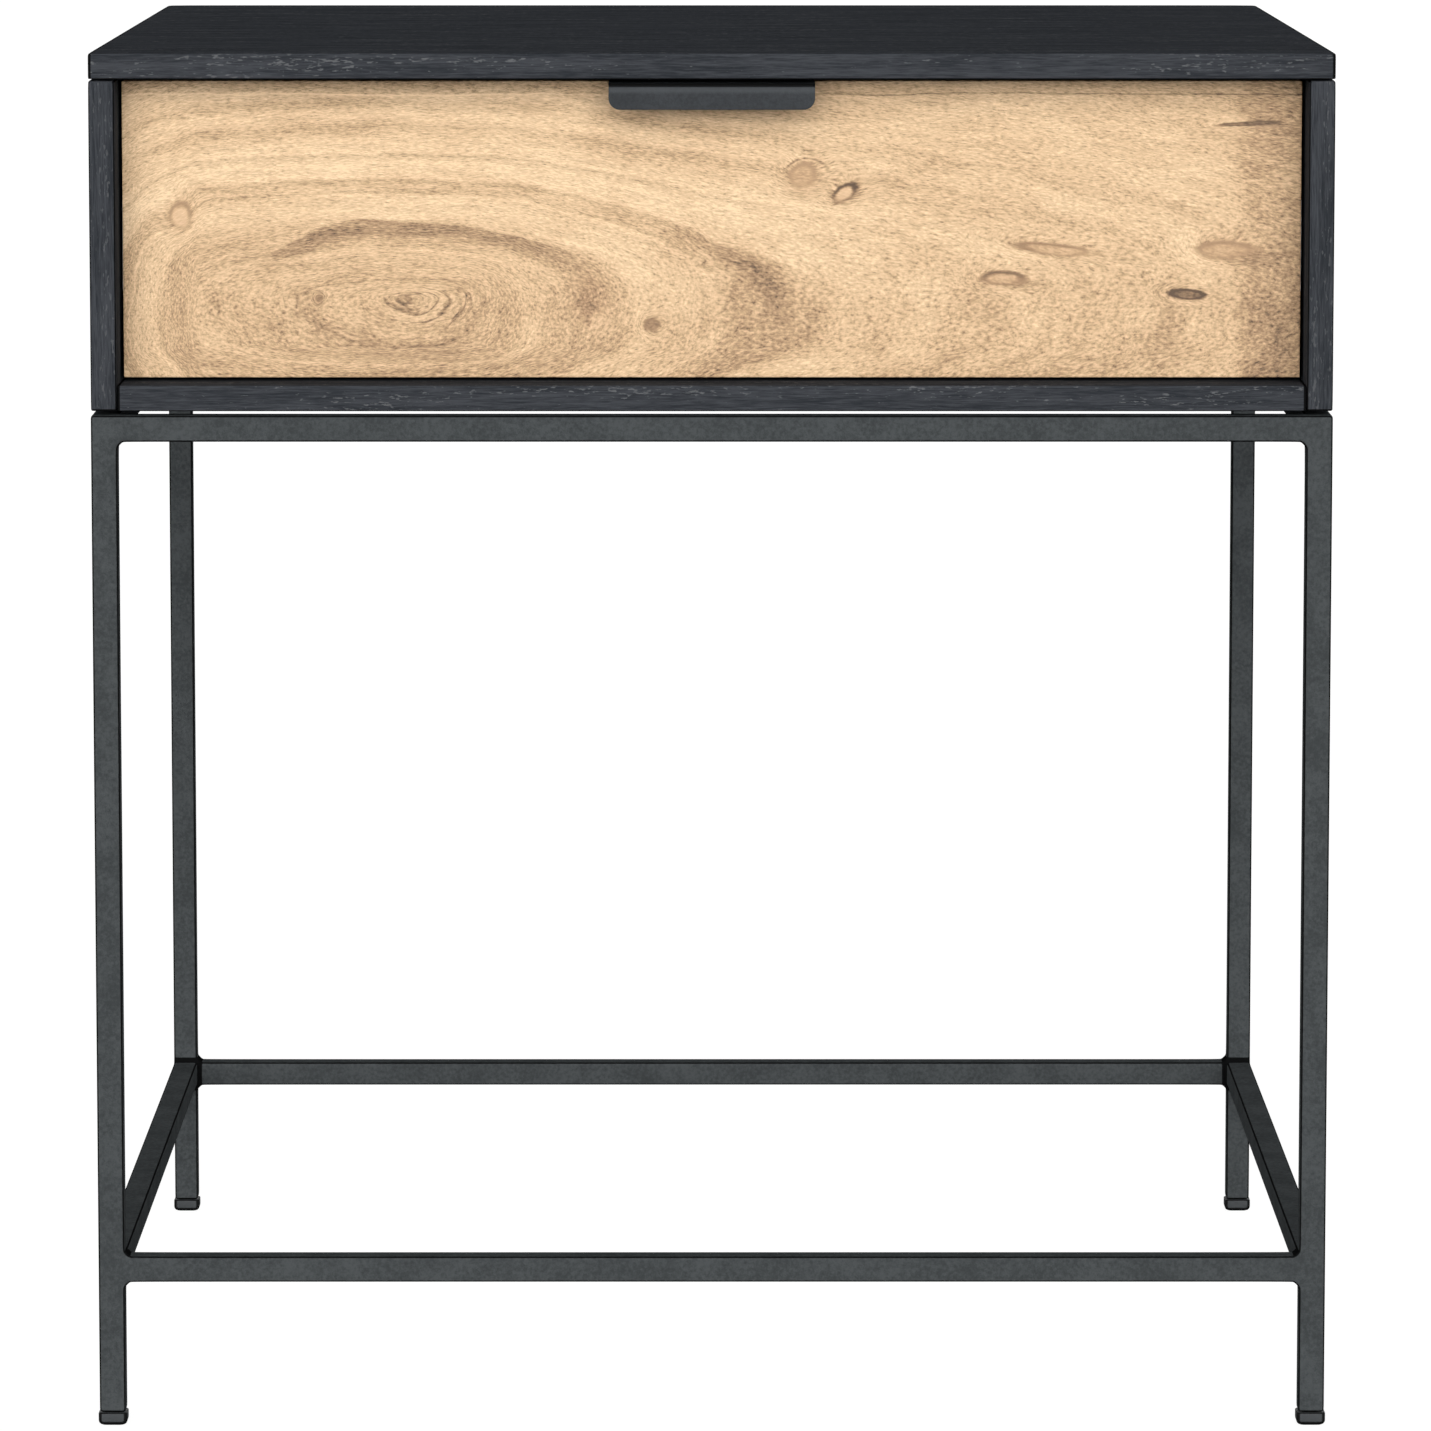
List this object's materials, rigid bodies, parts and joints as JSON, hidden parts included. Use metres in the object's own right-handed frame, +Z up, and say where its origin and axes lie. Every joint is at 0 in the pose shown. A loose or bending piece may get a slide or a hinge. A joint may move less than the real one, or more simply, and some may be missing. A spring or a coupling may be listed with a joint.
{
  "type": "side table with drawer",
  "caption": "Square side table: a dark wooden case with one inset wooden drawer and a bent finger pull, on an open square-tube steel frame with a low ring of rails.",
  "frame": {"origin": "on the floor, under the middle of the whole table", "axes": "+Z up, +Y towards the back, so the drawer's front faces -Y; +X to the right seen from the front"},
  "size_m": [0.6112, 0.6106, 0.6824],
  "materials": {
    "case_wood": "black-washed open-grain veneer, matt lacquer",
    "drawer_front_wood": "solid light acacia with bold figure, satin lacquer",
    "drawer_box_wood": "plain light wood, thin matt lacquer",
    "frame_steel": "gunmetal lacquer with a faint mottle, satin",
    "pull_steel": "dark gunmetal lacquer, satin",
    "foot_plastic": "black moulded plastic",
    "slide_steel": "bright zinc plate",
    "black_screw": "black oxide"
  },
  "bodies": {
    "root": {"leg_front_left": "frame_steel", "leg_front_right": "frame_steel", "leg_rear_left": "frame_steel", "leg_rear_right": "frame_steel", "top_rail_front": "frame_steel", "top_rail_rear": "frame_steel", "top_rail_left": "frame_steel", "top_rail_right": "frame_steel", "bottom_rail_front": "frame_steel", "bottom_rail_rear": "frame_steel", "bottom_rail_left": "frame_steel", "bottom_rail_right": "frame_steel", "foot_cap_front_left": "foot_plastic", "spacer_front_left": "foot_plastic", "frame_screw_front_left": "black_screw", "foot_cap_front_right": "foot_plastic", "spacer_front_right": "foot_plastic", "frame_screw_front_right": "black_screw", "foot_cap_rear_left": "foot_plastic", "spacer_rear_left": "foot_plastic", "frame_screw_rear_left": "black_screw", "foot_cap_rear_right": "foot_plastic", "spacer_rear_right": "foot_plastic", "frame_screw_rear_right": "black_screw", "top_panel": "case_wood", "left_side_panel": "case_wood", "right_side_panel": "case_wood", "bottom_panel": "case_wood", "back_panel": "case_wood", "left_slide_cabinet_member": "slide_steel", "left_slide_case_screw_front": "slide_steel", "left_slide_case_screw_rear": "slide_steel", "right_slide_cabinet_member": "slide_steel", "right_slide_case_screw_front": "slide_steel", "right_slide_case_screw_rear": "slide_steel"},
    "drawer": {"drawer_front": "drawer_front_wood", "drawer_left_side": "drawer_box_wood", "drawer_right_side": "drawer_box_wood", "drawer_back": "drawer_box_wood", "drawer_bottom": "drawer_box_wood", "drawer_pull": "pull_steel", "pull_screw_left": "black_screw", "pull_screw_right": "black_screw", "left_slide_drawer_member": "slide_steel", "left_slide_drawer_screw_front": "slide_steel", "left_slide_drawer_screw_rear": "slide_steel", "right_slide_drawer_member": "slide_steel", "right_slide_drawer_screw_front": "slide_steel", "right_slide_drawer_screw_rear": "slide_steel"},
    "left_slide_middle": {"left_slide_middle_member": "slide_steel"},
    "left_slide_outer_cage": {"left_slide_outer_cage": "slide_steel"},
    "left_slide_inner_cage": {"left_slide_inner_cage": "slide_steel"},
    "right_slide_middle": {"right_slide_middle_member": "slide_steel"},
    "right_slide_outer_cage": {"right_slide_outer_cage": "slide_steel"},
    "right_slide_inner_cage": {"right_slide_inner_cage": "slide_steel"}
  },
  "joints": [
    {"name": "drawer_slide", "type": "slide", "parent": "root", "child": "drawer", "axis": [0, -1, 0], "range_m": [0, 0.5]},
    {"name": "left_middle_travel", "type": "slide", "parent": "root", "child": "left_slide_middle", "axis": [0, -1, 0], "range_m": [0, 0.25]},
    {"name": "left_outer_cage_travel", "type": "slide", "parent": "root", "child": "left_slide_outer_cage", "axis": [0, -1, 0], "range_m": [0, 0.125]},
    {"name": "left_inner_cage_travel", "type": "slide", "parent": "root", "child": "left_slide_inner_cage", "axis": [0, -1, 0], "range_m": [0, 0.375]},
    {"name": "right_middle_travel", "type": "slide", "parent": "root", "child": "right_slide_middle", "axis": [0, -1, 0], "range_m": [0, 0.25]},
    {"name": "right_outer_cage_travel", "type": "slide", "parent": "root", "child": "right_slide_outer_cage", "axis": [0, -1, 0], "range_m": [0, 0.125]},
    {"name": "right_inner_cage_travel", "type": "slide", "parent": "root", "child": "right_slide_inner_cage", "axis": [0, -1, 0], "range_m": [0, 0.375]}
  ],
  "couplings": [
    {"joint": "left_middle_travel", "follows": "drawer_slide", "ratio": 0.5},
    {"joint": "left_outer_cage_travel", "follows": "drawer_slide", "ratio": 0.25},
    {"joint": "left_inner_cage_travel", "follows": "drawer_slide", "ratio": 0.75},
    {"joint": "right_middle_travel", "follows": "drawer_slide", "ratio": 0.5},
    {"joint": "right_outer_cage_travel", "follows": "drawer_slide", "ratio": 0.25},
    {"joint": "right_inner_cage_travel", "follows": "drawer_slide", "ratio": 0.75}
  ]
}
